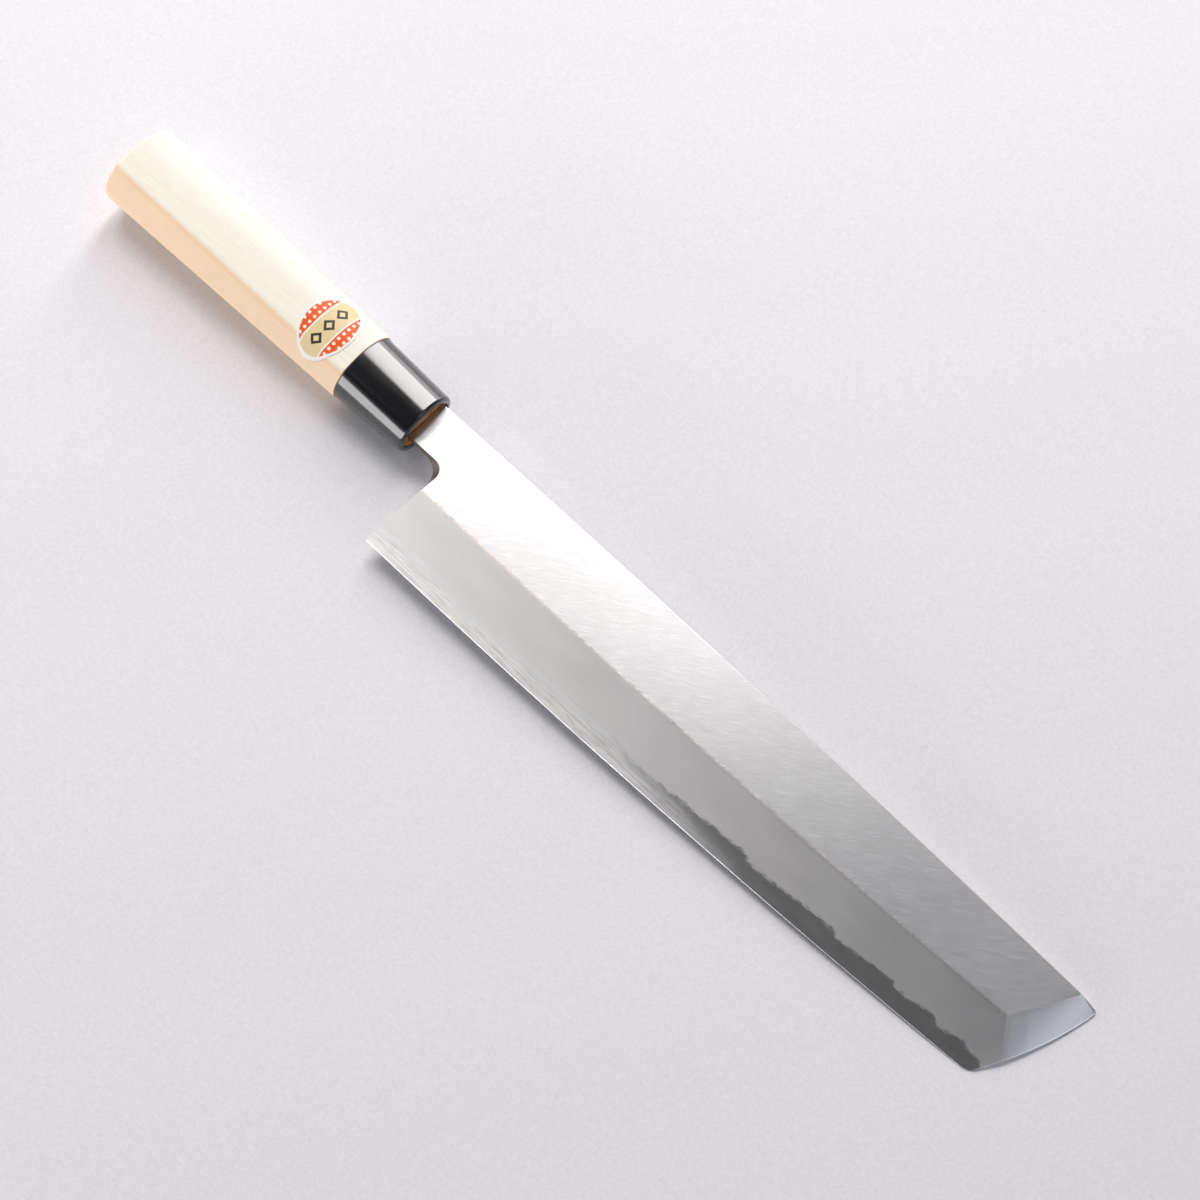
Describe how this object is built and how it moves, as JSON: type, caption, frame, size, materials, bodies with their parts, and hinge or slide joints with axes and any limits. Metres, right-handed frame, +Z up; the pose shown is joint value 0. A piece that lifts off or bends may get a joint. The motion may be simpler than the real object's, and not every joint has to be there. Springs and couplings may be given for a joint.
{
  "type": "honekiri knife",
  "caption": "Heavy single-bevel bone-cutting kitchen knife with a long straight edge, a square raked tip, a forge-welded two-layer blade and a ridged wooden handle with a black ferrule.",
  "frame": {"origin": "middle of the knife's bounding box, at the level of the table that the knife lies on, bevelled face up", "axes": "+X along the handle towards the tip, +Y from the edge towards the spine, +Z up out of the bevelled face"},
  "size_m": [0.401, 0.0538, 0.0248],
  "materials": {
    "soft_iron": "fine satin grind, lines along the blade",
    "edge_steel": "stone-polished, brighter micro bevel at the edge",
    "magnolia_wood": "bare, finely sanded",
    "black_resin": "polished",
    "brown_resin": "poured, half gloss, scorched at its rim",
    "label_paper": "thin printed paper with a smooth coating"
  },
  "bodies": {
    "root": {"blade_iron": "soft_iron", "edge_steel": "edge_steel", "handle_grip": "magnolia_wood", "ferrule": "black_resin", "tang_seal": "brown_resin", "label": "label_paper"}
  },
  "joints": []
}
